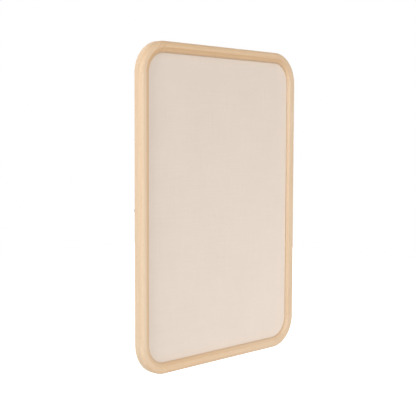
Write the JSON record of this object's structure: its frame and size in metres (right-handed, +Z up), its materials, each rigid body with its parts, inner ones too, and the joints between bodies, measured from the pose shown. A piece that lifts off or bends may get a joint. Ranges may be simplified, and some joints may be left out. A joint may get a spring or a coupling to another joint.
{
  "type": "pinboard",
  "caption": "Upright fabric-covered pinboard with a recessed pinning face in a rounded wooden frame, and folding ring hangers for hanging it upright or on its side.",
  "frame": {"origin": "on the wall, at the point where the upper hanger's ring bears on its hook, with the board hung upright", "axes": "+X to the right of a viewer who faces the board, +Y into the wall, +Z up"},
  "size_m": [0.5, 0.0269, 0.7],
  "materials": {
    "frame_wood": "satin",
    "tenon_wood": "matte",
    "face_fabric": "matte",
    "soft_fibreboard": "matte",
    "hardboard": "matte",
    "zinc_plate": "satin",
    "ring_wire": "satin",
    "screw_steel": "satin",
    "bumper_rubber": "matte"
  },
  "bodies": {
    "board": {"rail_top": "frame_wood", "rail_bottom": "frame_wood", "stile_left": "frame_wood", "stile_right": "frame_wood", "corner_top_left": "frame_wood", "corner_top_right": "frame_wood", "corner_bottom_left": "frame_wood", "corner_bottom_right": "frame_wood", "tenon_top_left": "tenon_wood", "tenon_top_right": "tenon_wood", "tenon_right_upper": "tenon_wood", "tenon_right_lower": "tenon_wood", "tenon_bottom_right": "tenon_wood", "tenon_bottom_left": "tenon_wood", "tenon_left_lower": "tenon_wood", "tenon_left_upper": "tenon_wood", "fabric_cover": "face_fabric", "pin_core": "soft_fibreboard", "back_panel": "hardboard", "turn_button_screw_top_left": "screw_steel", "turn_button_screw_top_right": "screw_steel", "turn_button_screw_right_upper": "screw_steel", "turn_button_screw_right_lower": "screw_steel", "turn_button_screw_bottom_right": "screw_steel", "turn_button_screw_bottom_left": "screw_steel", "turn_button_screw_left_lower": "screw_steel", "turn_button_screw_left_upper": "screw_steel", "hanger_plate_top": "zinc_plate", "hanger_plate_left": "zinc_plate", "hanger_screw_top_left": "screw_steel", "hanger_screw_top_right": "screw_steel", "hanger_screw_left_lower": "screw_steel", "hanger_screw_left_upper": "screw_steel", "bumper_top_left": "bumper_rubber", "bumper_top_right": "bumper_rubber", "bumper_bottom_left": "bumper_rubber", "bumper_bottom_right": "bumper_rubber"},
    "turn_button_top_left": {"turn_button_top_left": "zinc_plate"},
    "turn_button_top_right": {"turn_button_top_right": "zinc_plate"},
    "turn_button_right_upper": {"turn_button_right_upper": "zinc_plate"},
    "turn_button_right_lower": {"turn_button_right_lower": "zinc_plate"},
    "turn_button_bottom_right": {"turn_button_bottom_right": "zinc_plate"},
    "turn_button_bottom_left": {"turn_button_bottom_left": "zinc_plate"},
    "turn_button_left_lower": {"turn_button_left_lower": "zinc_plate"},
    "turn_button_left_upper": {"turn_button_left_upper": "zinc_plate"},
    "hanger_ring_top": {"hanger_ring_top": "ring_wire"},
    "hanger_ring_left": {"hanger_ring_left": "ring_wire"}
  },
  "joints": [
    {"name": "turn_button_top_left_swivel", "type": "hinge", "parent": "board", "child": "turn_button_top_left", "pos_m": [-0.09355, -0.004, -0.0051], "axis": [0, 1, 0], "continuous": true},
    {"name": "turn_button_top_right_swivel", "type": "hinge", "parent": "board", "child": "turn_button_top_right", "pos_m": [0.09355, -0.004, -0.0051], "axis": [0, 1, 0], "continuous": true},
    {"name": "turn_button_right_upper_swivel", "type": "hinge", "parent": "board", "child": "turn_button_right_upper", "pos_m": [0.242, -0.004, -0.20155], "axis": [0, 1, 0], "continuous": true},
    {"name": "turn_button_right_lower_swivel", "type": "hinge", "parent": "board", "child": "turn_button_right_lower", "pos_m": [0.242, -0.004, -0.49265], "axis": [0, 1, 0], "continuous": true},
    {"name": "turn_button_bottom_right_swivel", "type": "hinge", "parent": "board", "child": "turn_button_bottom_right", "pos_m": [0.09355, -0.004, -0.6891], "axis": [0, 1, 0], "continuous": true},
    {"name": "turn_button_bottom_left_swivel", "type": "hinge", "parent": "board", "child": "turn_button_bottom_left", "pos_m": [-0.09355, -0.004, -0.6891], "axis": [0, 1, 0], "continuous": true},
    {"name": "turn_button_left_lower_swivel", "type": "hinge", "parent": "board", "child": "turn_button_left_lower", "pos_m": [-0.242, -0.004, -0.49265], "axis": [0, 1, 0], "continuous": true},
    {"name": "turn_button_left_upper_swivel", "type": "hinge", "parent": "board", "child": "turn_button_left_upper", "pos_m": [-0.242, -0.004, -0.20155], "axis": [0, 1, 0], "continuous": true},
    {"name": "hanger_ring_top_fold", "type": "hinge", "parent": "board", "child": "hanger_ring_top", "pos_m": [0, -0.0027, -0.0102], "axis": [-1, 0, 0], "range_deg": [0, 180]},
    {"name": "hanger_ring_left_fold", "type": "hinge", "parent": "board", "child": "hanger_ring_left", "pos_m": [-0.2369, -0.0027, -0.3471], "axis": [0, 0, -1], "range_deg": [0, 180]}
  ]
}
